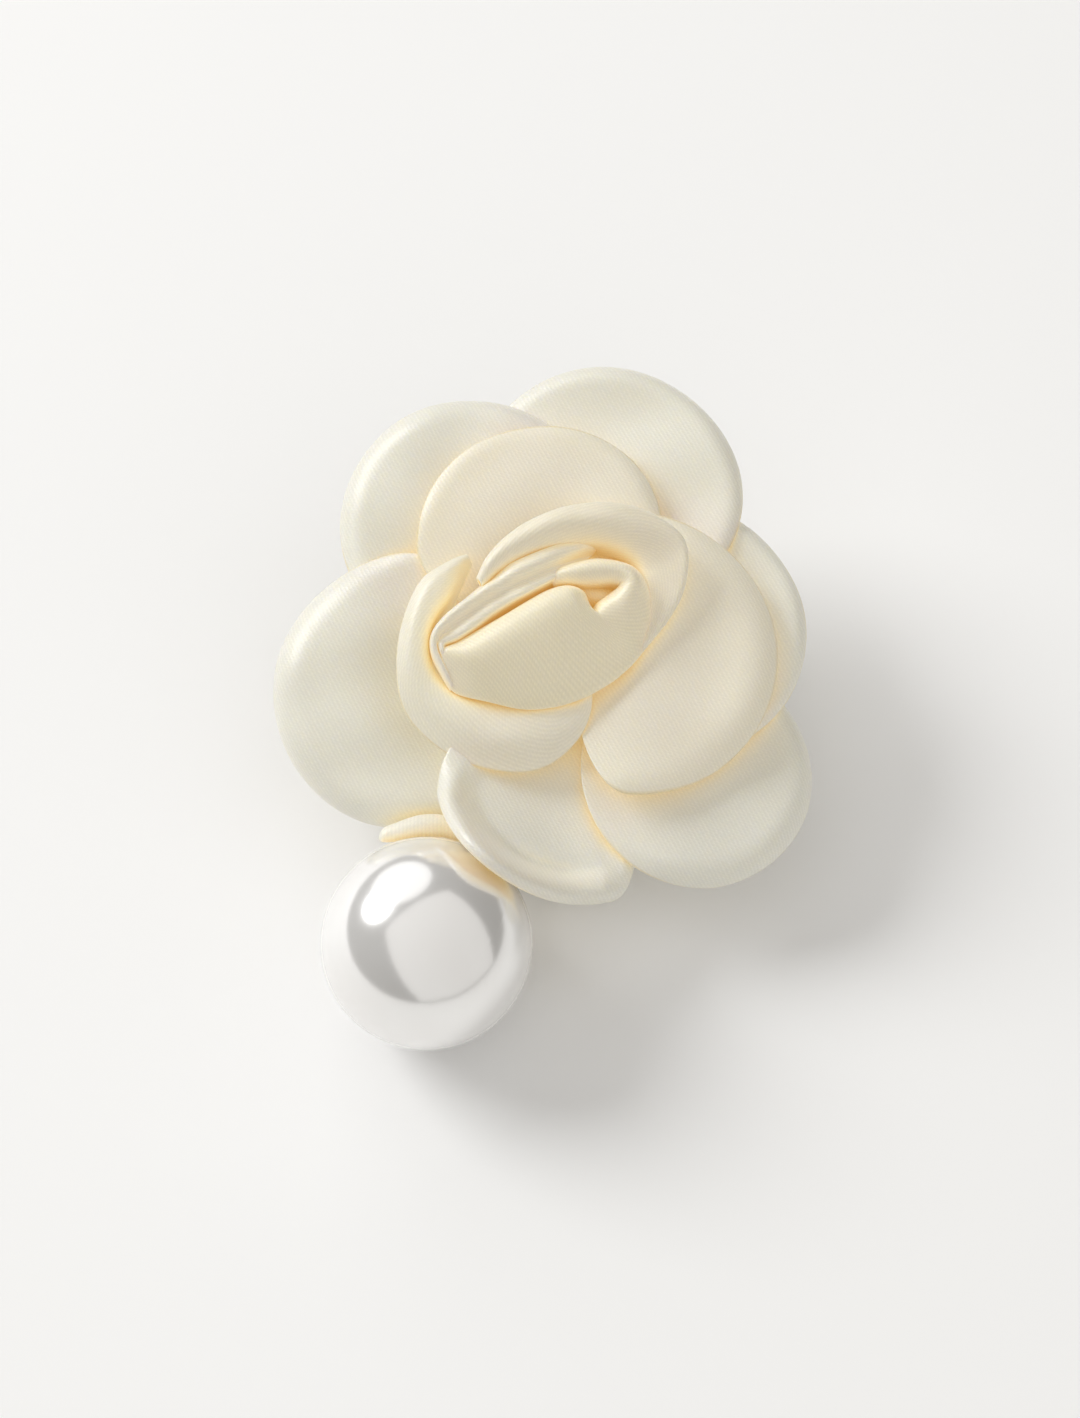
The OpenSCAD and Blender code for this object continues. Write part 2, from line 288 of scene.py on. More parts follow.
def satin_material(name, angle, bounce_warmth):
    """Ivory satin. angle turns the weave, and warmth, from 0 to 1, blends in the warmer colour
    painted for light bounced between the petals.

    Deep folds are painted golden, standing for light that reaches them through several layers. A
    faint painted glow, from emission, stands for the light that comes through the cloth from
    behind.
    """
    material, nodes, links = new_material(name)
    shader = nodes["Principled BSDF"]
    shader.inputs["Roughness"].default_value = 0.42
    shader.inputs["Specular IOR Level"].default_value = 0.8
    shader.inputs["Sheen Weight"].default_value = 0.35
    shader.inputs["Sheen Roughness"].default_value = 0.4
    shader.inputs["Sheen Tint"].default_value = (1, 0.97, 0.9, 1)
    shader.inputs["Subsurface Weight"].default_value = 0.5
    shader.inputs["Subsurface Radius"].default_value = (1.0, 0.85, 0.5)
    shader.inputs["Subsurface Scale"].default_value = 0.8 * MM
    # Strength of the painted glow that is set up below.
    shader.inputs["Emission Strength"].default_value = 0.2

    threads = satin_threads(nodes, links, angle)
    relief(nodes, links, threads, strength=0.45, depth=0.03 * MM)

    # Ambient occlusion marks the folds that get painted shade and a painted glow.
    fold = nodes.new("ShaderNodeAmbientOcclusion")
    fold.samples = 8
    fold.inputs["Distance"].default_value = 4.5 * MM
    openness = fold.outputs["AO"]
    colour = satin_colour(nodes, links, openness, threads, bounce_warmth)
    links.new(colour, shader.inputs["Base Color"])
    # Painted light: emission coloured by the ambient occlusion, golden in the deepest folds, palest
    # in half-open folds and faint over open cloth.
    glow = colour_ramp(nodes, links, openness, [
        (0.0, (0.55, 0.34, 0.06)),
        (0.45, (0.95, 0.86, 0.66)),
        (0.95, (0.25, 0.24, 0.20)),
    ])
    links.new(glow.outputs["Color"], shader.inputs["Emission Color"])
    return material


def felt_material():
    """Matt ivory felt with short fibres."""
    material, nodes, links = new_material("felt")
    shader = nodes["Principled BSDF"]
    shader.inputs["Roughness"].default_value = 0.95
    shader.inputs["Sheen Weight"].default_value = 0.5
    place = nodes.new("ShaderNodeTexCoord")
    fibres = noise(nodes, links, place.outputs["Object"], scale=2500, detail=6)
    tone = colour_ramp(nodes, links, fibres, [(0, (0.70, 0.66, 0.56)), (1, (0.86, 0.82, 0.72))])
    links.new(tone.outputs["Color"], shader.inputs["Base Color"])
    relief(nodes, links, fibres, strength=0.6, depth=0.1 * MM)
    return material


def steel_material(name, colour, grain=(900, 40, 900)):
    """Plated steel with a fine drawn grain and small scuffs."""
    material, nodes, links = new_material(name)
    shader = nodes["Principled BSDF"]
    shader.inputs["Metallic"].default_value = 1
    shader.inputs["Base Color"].default_value = (*colour, 1)
    place = nodes.new("ShaderNodeTexCoord")
    stretch = nodes.new("ShaderNodeMapping")
    stretch.inputs["Scale"].default_value = grain
    links.new(place.outputs["Object"], stretch.inputs["Vector"])
    brushed = noise(nodes, links, stretch.outputs["Vector"], scale=3, detail=5)
    gloss = nodes.new("ShaderNodeMapRange")
    gloss.inputs["To Min"].default_value = 0.16
    gloss.inputs["To Max"].default_value = 0.34
    links.new(brushed, gloss.inputs["Value"])
    links.new(gloss.outputs["Result"], shader.inputs["Roughness"])
    relief(nodes, links, brushed, strength=0.15, depth=0.02 * MM)
    return material


def pearl_material():
    """Lacquered faux pearl: a bright base under a glossy, faintly warm skin."""
    material, nodes, links = new_material("pearl")
    shader = nodes["Principled BSDF"]
    shader.inputs["Metallic"].default_value = 0.55
    shader.inputs["Roughness"].default_value = 0.17
    shader.inputs["Coat Weight"].default_value = 0.25
    shader.inputs["Coat Roughness"].default_value = 0.06
    place = nodes.new("ShaderNodeTexCoord")
    lustre = noise(nodes, links, place.outputs["Object"], scale=140, detail=2)
    tone = colour_ramp(nodes, links, lustre, [
        (0.3, (0.93, 0.915, 0.90)),
        (0.7, (0.97, 0.965, 0.955)),
    ])
    links.new(tone.outputs["Color"], shader.inputs["Base Color"])
    relief(nodes, links, lustre, strength=0.05, depth=0.05 * MM)
    return material


# ---------- petals ----------

# How each layer leaves the stem: height there, how far it then rises, and its
# slope further out.
OUTER_BOWL = (1.8, 3.2, -0.01)
MIDDLE_BOWL = (3.8, 4.2, -0.03)
RISE_LENGTH = 4.2
# The least length of a petal between its middle and its root, and the least
# distance out from the stem at which its spiral is measured.
LEAST_INWARD = 2.0
LEAST_OUT = 0.5

# Slow waves in the cloth: their height and pitch, how far from the stem they
# reach full height, and the share of it that they lose over the rolled rim.
WAVE_HEIGHT = 0.35
WAVE_PITCH = 9
WAVE_START = 6
WAVE_LOSS = 0.5

# Where the rim rolls, by the cosine of the direction from the petal's middle: 1
# at the free tip and -1 at the root. Both changes take ROLL_SPAN.
ROLL_START = -0.75
FREE_START = -0.1
ROLL_SPAN = 0.9

# The sealed cut edge, as shares of the petal's radius.
EDGE_START = 0.985
EDGE_WIDTH = 0.012

# Points along each side of a petal's grid, and the pitch of a lofted piece's ripples.
PETAL_GRID = 57
RIPPLE_PITCH = 5


def disc_grid(count):
    """A square grid of count x count points mapped onto the unit disc."""
    line = np.linspace(-1, 1, count)
    x, y = np.meshgrid(line, line, indexing="ij")
    return x * np.sqrt(1 - y * y / 2), y * np.sqrt(1 - x * x / 2)


def uneven_cut(way, seed):
    """How hand cutting changes a petal's radius in each direction, as a factor."""
    oval = 0.015
    lobes = 0.010
    return 1 + oval * np.sin(2 * way + seed) + lobes * np.sin(3 * way + 1.7 * seed)


def roll_over(rim, spread, turn, roll):
    """Walks out from a petal's middle, a share spread of the way, and over its rim.

    rim is how far the rim reaches in plan, and turn how far it rolls. Gives the
    length walked on the cloth, the distance reached in plan and the angle turned.
    """
    straight = rim - roll * np.sin(np.minimum(turn, pi / 2))
    length = straight + roll * turn
    walked = spread * length
    bend = np.clip((walked - straight) / roll, 0, None)
    reached = np.where(bend > 0, straight + roll * np.sin(bend), walked)
    return walked, reached, bend


def bowl_height(bowl, run):
    """The height of a layer of petals at a distance run from the stem."""
    foot, climb, slope = bowl
    return foot + climb * (1 - np.exp(-run / RISE_LENGTH)) + slope * run


def petal(name, place, size, right=None, bowl=OUTER_BOWL, lift=0.0, spiral=1.4, roll=2.4,
          curl=100, overlap_curl=55, seed=0, rise=None, bounce_warmth=0.0):
    """A round satin petal whose rim rolls over.

    place is the middle of the petal in the flower's plane, and size its radius.
    right is its half width on the counter-clockwise side. lift raises the whole
    petal, and spiral is how much lower it gets per radian round the stem. roll
    is the radius of the rolled rim. curl is how far it turns, in degrees, at the
    free tip, and overlap_curl is how far it turns where it lies on the next
    petal. rise gives extra height from the direction of a point and its distance
    from the rim.
    """
    across = right or size
    reach = float(np.hypot(*place))
    inward = max(min(reach - ROOT_RADIUS, size), LEAST_INWARD)
    u, v = disc_grid(PETAL_GRID)
    spread = np.hypot(u, v)
    way = np.arctan2(v, u)
    uneven = uneven_cut(way, seed)
    rim_a = np.cos(way) * np.where(u > 0, size, inward) * uneven
    rim_b = np.sin(way) * np.where(v > 0, across, size) * uneven
    rim = np.maximum(np.hypot(rim_a, rim_b), 1e-6)

    outside = smooth((np.cos(way) - ROLL_START) / ROLL_SPAN)
    free = smooth((np.cos(way) - FREE_START) / ROLL_SPAN)
    turn = np.radians(overlap_curl + (curl - overlap_curl) * free) * outside
    walked, reached, bend = roll_over(rim, spread, turn, roll)
    a = rim_a / rim * reached
    b = rim_b / rim * reached

    out = reach + a
    run = np.hypot(out, b) - ROOT_RADIUS
    z = bowl_height((bowl[0] + lift, *bowl[1:]), run)
    z = z - spiral * np.arctan2(b, np.maximum(out, LEAST_OUT))
    waves = WAVE_HEIGHT * ripple(a, b, seed, WAVE_PITCH) * smooth(run / WAVE_START)
    z = z + waves * (1 - WAVE_LOSS * smooth(bend))
    if rise is not None:
        z = z + rise(way, (1 - spread) * rim)
    z = z - roll * (1 - np.cos(bend))

    heading = np.arctan2(place[1], place[0])
    x = out * np.cos(heading) - b * np.sin(heading)
    y = out * np.sin(heading) + b * np.cos(heading)
    points = from_flower(np.stack([x, y, z], -1))
    flat = np.stack([rim_a, rim_b], -1) / rim[..., None] * walked[..., None]
    edge = smooth((spread - EDGE_START) / EDGE_WIDTH) * smooth(outside)
    piece = grid_mesh(name, points, flat, edge)
    thicken(piece, SATIN_THICKNESS)
    dress(piece, name, heading - TWILL_HEADING, bounce_warmth)


def dress(piece, node, weave, bounce_warmth):
    """Makes a cloth piece stand for its CAD node and ride on the flower."""
    piece.data.materials.append(satin_material(node + "_satin", weave, bounce_warmth))
    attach(piece, "flower_head")
    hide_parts(node)


def lofted(node, stations, along, across, weave, bounce_warmth, cut=False, wave=0.08, seed=1):
    """A cloth piece lofted through stations in the flower's frame.

    along and across count the points of its grid. weave is the heading of the
    threads and wave the height of the ripples. cut is True where the last point
    of each station lies on the cloth's edge.
    """
    grid = loft(stations, along, across)
    grid[..., 2] += wave * ripple(grid[..., 0], grid[..., 1], seed, RIPPLE_PITCH)
    points = from_flower(grid)
    flat = cloth_size(grid)
    edge = np.zeros(grid.shape[:2])
    if cut:
        edge[:, -1] = 1
    piece = grid_mesh(node, points, flat, edge)
    thicken(piece, SATIN_THICKNESS)
    dress(piece, node, weave, bounce_warmth)


def bump_at(value, peak, width):
    """A smooth bump of height 1 at the value peak, as wide as width to either side."""
    return np.exp(-((value - peak) / width) ** 2)


def over_pearl(way, inset):
    """The rise of the petal that lifts its left edge over the pearl.

    A gentle slope starts well inside the rim, and a crease sets off a steeper
    one near it. way is the direction from the petal's middle and inset the
    distance from its rim.
    """
    edge_height = 0.9
    peak_height = 6.4
    crease_depth = 0.6
    gentle_inset = 8
    steep_inset = 3.4
    steep_width = 2.2
    gentle = smooth((gentle_inset - inset) / gentle_inset)
    steep = smooth((steep_inset - inset) / steep_width)
    slope = 0.35 * gentle + 0.65 * steep
    peak = bump_at(way, radians(-55), radians(33))
    fade = smooth((radians(25) - way) / radians(35))
    crease_end = smooth((radians(9) - way) / radians(32))
    crease_start = smooth((way + radians(66)) / radians(30))
    crease = crease_depth * bump_at(inset, 3.1, 0.65) * (crease_end * crease_start)
    return (edge_height * fade + peak_height * peak) * slope - crease


petal("outer_petal_1", (5.1, 12.9), 10.1, lift=0.5, roll=1.6, curl=85, seed=11)
petal("outer_petal_2", (-5.1, 10.6), 9.8, lift=0.5, roll=2.0, curl=90, seed=12)
petal("outer_petal_3", (-9.5, -2.1), 10.2, roll=2.4, seed=13)
petal("outer_petal_4", (2.4, -8.6), 10, right=4, lift=0.6, roll=1.2, curl=110,
      overlap_curl=110, rise=over_pearl, seed=14)
petal("outer_petal_5", (11.6, -8.5), 8.6, lift=0.8, roll=2.0, curl=85, seed=15)
petal("outer_petal_6", (9.4, 2.2), 10.4, lift=0.7, roll=1.1, curl=70, seed=16)
petal("middle_petal_1", (0.2, 8), 9.3, bowl=MIDDLE_BOWL, spiral=0, seed=21, bounce_warmth=0.4,
      roll=2, curl=40, overlap_curl=30)
petal("middle_petal_3", (7.1, -0.3), 10.5, bowl=MIDDLE_BOWL, lift=1.1, spiral=0, seed=23,
      bounce_warmth=0.4, roll=4, curl=45, overlap_curl=30)


def wall_station(lip, crest, edge, base, inset=0.9):
    """A section of a standing petal: inner wall, rolled crest and outer edge.

    lip, crest and edge are (x, y, z). The inner wall goes down from the lip to
    the height base, inset nearer the middle of the flower.
    """
    least_radius = 2
    radius = max(float(np.hypot(lip[0], lip[1])), least_radius)
    inner = np.array(lip) * (1 - inset / radius)
    return [(inner[0], inner[1], base), lip, crest, edge]


LOWER_WRAP = [
    wall_station((-5.0, 6.6, 8.0), (-5.1, 6.8, 8.3), (-5.2, 7.0, 8.1), 7.4, 0.1),
    wall_station((-5.6, 5.7, 8.5), (-6.0, 6.0, 9.2), (-6.5, 6.3, 8.8), 7.4, 0.3),
    wall_station((-6.5, 3.8, 8.9), (-7.6, 4.4, 9.5), (-8.5, 4.9, 8.8), 6.8, 0.3),
    wall_station((-7.8, 1.5, 8.8), (-8.9, 1.8, 9.4), (-9.8, 2.1, 8.5), 6.4, 0.3),
    wall_station((-8.0, -0.8, 8.5), (-9.2, -1.0, 9.0), (-10.3, -1.0, 8.1), 6, 0.5),
    wall_station((-7.0, -2.8, 8.2), (-8.4, -3.5, 8.7), (-9.9, -4.2, 7.6), 6),
    wall_station((-5.4, -3.8, 7.9), (-6.7, -5.2, 8.4), (-8.1, -6.6, 7.2), 6),
    wall_station((-3.0, -4.2, 7.8), (-4.1, -6.4, 8.3), (-5.2, -8.4, 7.0), 6),
    wall_station((-0.9, -4.3, 7.8), (-1.2, -6.6, 8.3), (-1.4, -9.1, 6.9), 6),
    wall_station((0.9, -4.0, 7.8), (1.0, -6.2, 8.3), (1.0, -8.5, 7.1), 6),
    wall_station((1.8, -3.6, 7.7), (2.4, -5.3, 8.2), (2.9, -6.8, 7.5), 6),
    wall_station((2.2, -3.2, 7.4), (3.2, -4.2, 8.1), (3.8, -5.0, 7.8), 6),
    wall_station((2.6, -2.6, 7.4), (3.4, -2.9, 7.9), (4.0, -3.1, 7.8), 6),
]
lofted("middle_petal_2", LOWER_WRAP, 90, 30, 1.2, 0.4, cut=True, seed=22)


def arch_station(lip, crest, outer, base, foot, inset=0.5):
    """A section of the arched petal: a standing wall with a rim rolled outwards.

    The wall goes down to the height base inside and foot outside.
    """
    undercut = 0.93
    outside = (outer[0] * undercut, outer[1] * undercut, foot)
    return [*wall_station(lip, crest, outer, base, inset), outside]


ARCH = [
    arch_station((-4.0, 3.6, 11.0), (-4.2, 4.0, 11.7), (-4.4, 4.3, 11.0), 9.5, 9.4, 0.1),
    arch_station((-3.1, 4.8, 11.4), (-3.4, 5.3, 12.2), (-3.7, 5.7, 11.4), 10.0, 9.2, 0.1),
    arch_station((-1.6, 5.8, 11.4), (-2.0, 6.5, 12.4), (-2.4, 7.2, 11.6), 10.0, 9.0, 0.1),
    arch_station((0.1, 6.6, 11.3), (-0.3, 7.5, 12.5), (-0.6, 8.5, 11.6), 9.6, 8.6, 0.2),
    arch_station((2.0, 7.2, 11.2), (1.9, 8.3, 12.6), (1.9, 9.5, 11.6), 9.0, 8.4, 0.4),
    arch_station((4.2, 7.4, 11.1), (4.4, 8.6, 12.6), (4.6, 9.9, 11.6), 8.6, 8.4, 0.6),
    arch_station((6.2, 7.1, 11.1), (6.9, 8.2, 12.1), (7.5, 9.5, 11.3), 9.3, 8.4, 0.9),
    arch_station((7.5, 6.4, 10.5), (9.0, 7.5, 11.4), (9.8, 8.2, 11.1), 9.3, 8.4, 1.0),
    arch_station((8.0, 5.5, 10.1), (10.0, 6.6, 11.0), (10.7, 7.0, 10.8), 9.4, 8.2, 1.0),
    arch_station((8.1, 4.5, 9.9), (10.2, 5.2, 10.7), (10.8, 5.3, 10.5), 9.3, 8.0, 1.0),
    arch_station((8.1, 3.4, 9.6), (9.8, 3.6, 10.2), (10.4, 3.5, 10.0), 9.1, 7.9, 1.0),
    arch_station((7.8, 2.2, 9.3), (9.0, 2.0, 9.7), (9.5, 1.9, 9.5), 8.8, 7.8, 1.0),
    arch_station((7.4, 1.1, 8.8), (8.1, 0.6, 9.2), (8.3, 0.4, 9.0), 8.0, 7.8),
    arch_station((6.4, -0.5, 8.2), (6.7, -1.0, 8.5), (6.9, -1.2, 8.3), 7.8, 7.8),
]
lofted("inner_petal", ARCH, 90, 34, 1.3, 0.7, seed=24)


# The height of the layer that the bud stands on.
BUD_FLOOR = 8.4


def bud_station(inside, crest, side, bottom, foot=BUD_FLOOR):
    """A section over the bud: up out of the slot, over the crest and down.

    inside and bottom are (x, y), crest and side (x, y, z). The section ends
    tucked under the bud, below the height foot.
    """
    undercut = 0.8
    low = (*inside, BUD_FLOOR)
    wall = (*inside, crest[2] - 1.0)
    skirt = (*bottom, foot + 0.5)
    tucked = (bottom[0] * undercut, bottom[1] * undercut, foot - 0.6)
    return [low, wall, crest, side, skirt, tucked]


BUD = [
    bud_station((-7.0, -0.5), (-7.0, -0.9, 10.6), (-6.8, -1.9, 9.8), (-6.3, -3.1), 7.8),
    bud_station((-6.7, -0.6), (-6.7, -1.0, 11.2), (-6.4, -2.1, 10.3), (-5.8, -3.5), 7.9),
    bud_station((-5.5, -0.1), (-5.0, -1.1, 11.6), (-4.5, -2.4, 10.9), (-4.2, -4.0)),
    bud_station((-2.7, 1.4), (-2.1, 0.1, 12.0), (-1.7, -2.0, 11.1), (-1.4, -4.6)),
    bud_station((-0.6, 2.7), (0.0, 1.4, 12.1), (0.6, -1.2, 11.1), (0.9, -4.5)),
    bud_station((0.9, 3.5), (1.4, 2.2, 12.1), (2.3, -0.5, 10.9), (3.0, -3.9)),
    bud_station((2.2, 3.8), (2.4, 2.6, 12.0), (3.6, 0.1, 10.7), (4.6, -3.1)),
    bud_station((3.2, 3.5), (3.0, 2.4, 11.7), (4.6, 0.4, 10.4), (5.8, -2.3)),
    bud_station((3.6, 2.8), (3.7, 2.2, 11.2), (5.2, 0.6, 10.3), (6.7, -1.5)),
    bud_station((3.9, 2.2), (4.4, 1.8, 10.9), (5.8, 0.8, 10.3), (7.3, -0.8)),
    bud_station((4.4, 2.8), (5.1, 2.3, 11.1), (6.5, 1.3, 10.5), (7.8, 0.2), 8.0),
    bud_station((5.3, 3.4), (6.1, 2.9, 11.4), (7.1, 2.4, 10.8), (8.2, 1.8)),
    bud_station((6.0, 4.0), (6.8, 4.1, 11.7), (7.5, 4.0, 10.9), (8.0, 4.0)),
    bud_station((5.5, 4.3), (6.1, 4.9, 11.8), (6.6, 5.3, 11.0), (6.8, 5.6)),
    bud_station((4.4, 4.3), (4.5, 5.1, 11.9), (4.5, 5.8, 11.0), (4.5, 6.1)),
    bud_station((3.3, 4.2), (3.0, 4.9, 11.8), (2.8, 5.5, 11.0), (2.6, 5.9)),
    bud_station((2.2, 4.1), (1.9, 4.7, 11.5), (1.6, 5.2, 10.8), (1.4, 5.6)),
    bud_station((1.2, 3.9), (0.9, 4.3, 10.9), (0.6, 4.7, 10.4), (0.4, 5.0)),
]
lofted("bud_outer_wrap", BUD, 130, 40, 0.5, 1.0, seed=32, wave=0.05)


def strip_station(back, ridge, edge):
    """A section over the folded strip behind the bud's slot: a rim, a groove, an inner band."""
    rim, slot = np.array(ridge), np.array(edge)
    groove = rim + 0.4 * (slot - rim) - (0, 0, 0.5)
    band = rim + 0.75 * (slot - rim) - (0, 0, 0.1)
    return [back, ridge, groove, band, edge, (edge[0] + 0.1, edge[1] - 0.1, BUD_FLOOR)]


STRIP = [
    strip_station((-6.3, -3.3, 8.2), (-6.1, -3.1, 9.3), (-5.7, -3.0, 9.2)),
    strip_station((-7.0, -2.1, 8.2), (-6.8, -2.0, 10.5), (-6.3, -1.9, 10.4)),
    strip_station((-7.7, -0.7, 8.2), (-7.5, -0.6, 11.3), (-6.8, -0.9, 11.2)),
    strip_station((-7.8, 0.7, 8.2), (-7.3, 0.5, 11.7), (-6.7, -0.4, 11.1)),
    strip_station((-7.0, 2.0, 8.4), (-6.4, 1.5, 11.8), (-5.8, 0.0, 11.2)),
    strip_station((-5.5, 3.2, 8.8), (-5.0, 2.6, 11.9), (-4.6, 0.8, 11.3)),
    strip_station((-3.9, 4.3, 9.9), (-3.5, 3.6, 12.0), (-3.3, 1.8, 11.3)),
    strip_station((-2.2, 5.3, 11.2), (-1.9, 4.5, 12.1), (-1.9, 2.7, 11.3)),
    strip_station((-0.5, 6.1, 11.4), (-0.2, 5.3, 12.0), (-0.4, 3.5, 11.3)),
    strip_station((1.3, 6.9, 11.1), (1.4, 6.1, 11.6), (1.0, 4.3, 11.1)),
    strip_station((3.1, 7.6, 10.3), (3.0, 6.8, 10.8), (2.3, 5.0, 10.6)),
    strip_station((4.6, 8.2, 9.4), (4.4, 7.3, 9.8), (3.4, 5.7, 9.9)),
]
lofted("bud_inner_wrap", STRIP, 110, 30, 1.5, 0.6, seed=33, wave=0.02)

# The roll at the heart of the bud, seen only down the slot and the hole.
HEART = [
    [(x - 0.9, y + 1.5, 7.4), (x - 0.5, y + 0.9, 8.7), (x, y, 9.2), (x + 0.5, y - 0.9, 8.7),
     (x + 0.9, y - 1.5, 7.4)]
    for x, y in ((-6.4, -0.4), (-3.4, 1.2), (-0.4, 2.8), (2.4, 3.9), (4.6, 3.6), (6.2, 3.2))
]
lofted("bud_core", HEART, 60, 20, 0.5, 1.0, seed=31, wave=0.05)

# ---------- hardware and pearl ----------

def box_of(node):
    """The lowest and highest corners of a CAD node."""
    return tuple(Vector(corner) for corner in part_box(node))


def middle_of(node):
    """The middle of a CAD node's box."""
    low, high = box_of(node)
    return (low + high) / 2


def pearl(material):
    """A lathed pearl with the rounded mouth of its hole turned to the ring."""
    low, high = box_of("pearl")
    centre = middle_of("pearl")
    axis = (middle_of("jump_ring") - centre).normalized()
    radius = (high.x - low.x) / 2
    hole = 0.45 * MM
    lip = 0.08 * MM
    bore_end = radius - 1.5 * MM
    bore_mouth = radius - 0.2 * MM
    start = np.arcsin((hole + lip) / radius)
    angles = np.linspace(start, pi, 96)
    profile = [(hole, bore_end), (hole, bore_mouth)]
    profile += [(radius * sin(angle), radius * cos(angle)) for angle in angles]
    side = axis.orthogonal().normalized()
    other = axis.cross(side)
    spokes = 160
    rows = np.array([[
        centre + axis * height + (side * cos(turn) + other * sin(turn)) * out
        for turn in (2 * pi * spoke / spokes for spoke in range(spokes + 1))
    ] for out, height in profile])
    flat = np.zeros((*rows.shape[:2], 2))
    piece = grid_mesh("pearl_bead", rows, flat)
    piece.data.materials.append(material)
    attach(piece, "pearl_drop")
    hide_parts("pearl")


def coil_path(bottom_end, top_end, coil, half_width):
    """Points along a torsion spring about the x axis, from one leg's end to the other's.

    Each leg is straight and leaves the coil, of radius coil, where it touches it.
    """
    turns = 4.4
    steps = 240

    def touch(end, side):
        """The angle on the coil at which a straight leg to end leaves it."""
        return np.arctan2(end.z, end.y) + side * np.arccos(coil / np.hypot(end.y, end.z))

    start = touch(bottom_end, -1)
    finish = touch(top_end, 1)
    finish -= 2 * pi * round((turns * 2 * pi - start + finish) / (2 * pi))
    path = [(-half_width, bottom_end.y, bottom_end.z)]
    for step in range(steps + 1):
        share = step / steps
        angle = start + (finish - start) * share
        path.append((half_width * (2 * share - 1), coil * cos(angle), coil * sin(angle)))
    path.append((half_width, top_end.y, top_end.z))
    return np.array(path)


def wire_tube(path, radius):
    """A grid round a path that never runs along the x axis."""
    ahead = np.gradient(path, axis=0)
    ahead /= np.linalg.norm(ahead, axis=1, keepdims=True)
    side = np.cross(ahead, (1.0, 0, 0))
    side /= np.linalg.norm(side, axis=1, keepdims=True)
    other = np.cross(side, ahead)
    return np.array([
        path + radius * (cos(turn) * side + sin(turn) * other)
        for turn in np.linspace(0, 2 * pi, 17)
    ])


def spring(material):
    """A wound torsion spring with a leg along each arm.

    Its coil sits round the hinge axis.
    """
    low, high = box_of("torsion_spring")
    axle = middle_of("hinge_pin")
    wire_radius = 0.3 * MM
    leg_inset = 0.3 * MM
    half_width = 1.3 * MM
    top_end = Vector((0, high.y - leg_inset, high.z - wire_radius)) - axle
    bottom_end = Vector((0, high.y - leg_inset, low.z + wire_radius)) - axle
    path = coil_path(bottom_end, top_end, 1.5 * MM, half_width) + np.array(axle)
    tube = wire_tube(path, wire_radius)
    piece = grid_mesh("spring_coil", tube, np.zeros((*tube.shape[:2], 2)))
    piece.data.materials.append(material)
    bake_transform(piece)
    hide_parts("torsion_spring")


def felt_pad(material):
    """The felt disc between the plate and the top arm, as a pressed sheet."""
    radius = 8.5
    thickness = 0.9
    inset = 0.5
    middle_height = -1.0
    u, v = disc_grid(65)
    around = np.arctan2(v, u)
    ragged = 0.08 * np.sin(9 * around) + 0.05 * np.sin(23 * around)
    trimmed = radius - inset + ragged
    x, y = u * trimmed, v * trimmed
    z = middle_height + 0.03 * ripple(x, y, 41, 4)
    points = from_flower(np.stack([x, y, z], -1))
    piece = grid_mesh("felt_disc", points, np.stack([x, y], -1))
    thicken(piece, thickness, levels=2)
    piece.data.materials.append(material)
    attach(piece, "flower_head")
    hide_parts("felt_backing")


def stem_roll(material):
    """The rolled strip of felt that the petals are stitched to."""
    thickness = 0.4
    height = 6.7
    clearance = 0.15
    turns = 3
    core_radius = 0.5
    growth = 1.6 / turns
    pleats = 7
    pleat_depth = 0.03
    around = np.linspace(0, 2 * pi * turns, 240)
    rise = np.linspace(0, 1, 24)
    turn, up = np.meshgrid(around, rise, indexing="ij")
    radius = core_radius + growth * turn / (2 * pi)
    radius = radius * (1 + pleat_depth * np.sin(pleats * turn + 2 * up))
    x, y = radius * np.cos(turn), radius * np.sin(turn)
    points = from_flower(np.stack([x, y, clearance + height * up], -1))
    length = np.concatenate([[0], np.cumsum(np.hypot(*np.diff([x[:, 0], y[:, 0]], axis=1)))])
    flat = np.stack(np.meshgrid(length, height * rise, indexing="ij"), -1)
    piece = grid_mesh("rolled_stem", points, flat)
    thicken(piece, thickness)
    piece.data.materials.append(material)
    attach(piece, "flower_head")
    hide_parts("flower_stem")


# Sections of the tab along its length, in row-frame millimetres: x, y, z and
# half width.
TAB = [
    (-11.7, -14.2, 8.0, 0.05),
    (-11.4, -14.0, 8.1, 0.5),
    (-10.5, -13.8, 8.2, 0.7),
    (-8.7, -13.4, 8.4, 0.84),
    (-7.0, -13.4, 8.4, 0.84),
    (-5.6, -13.8, 8.2, 0.7),
    (-4.7, -14.0, 8.0, 0.05),
]


def satin_tab():
    """The small stuffed tab of satin that peeps out between the petals and the pearl."""
    flattening = 0.95
    line = spline(TAB, 48)
    turns = np.linspace(0, 2 * pi, 33)
    points = MM * np.stack([
        np.broadcast_to(line[:, :1], (len(line), len(turns))),
        line[:, 1:2] + line[:, 3:] * np.cos(turns),
        line[:, 2:3] + line[:, 3:] * flattening * np.sin(turns),
    ], -1)
    piece = grid_mesh("satin_tab", points, cloth_size(points / MM))
    piece.data.materials.append(satin_material("tab_satin", 0, 0.2))
    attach(piece, "flower_head")


steel = steel_material("plated_steel", (0.80, 0.79, 0.77))
wire = steel_material("bright_wire", (0.84, 0.83, 0.81), grain=(300, 300, 300))
felt = felt_material()
finishes = {
    "clip_bottom_arm": steel, "clip_top_arm": steel, "hinge_pin": wire,
    "base_plate": steel, "jump_ring": wire, "pearl_peg": wire,
}
for node, finish in finishes.items():
    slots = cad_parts[node].data.materials
    slots.clear()
    slots.append(finish)
pearl(pearl_material())
spring(wire)
felt_pad(felt)
stem_roll(felt)
satin_tab()

# ---------- floor, light and camera ----------

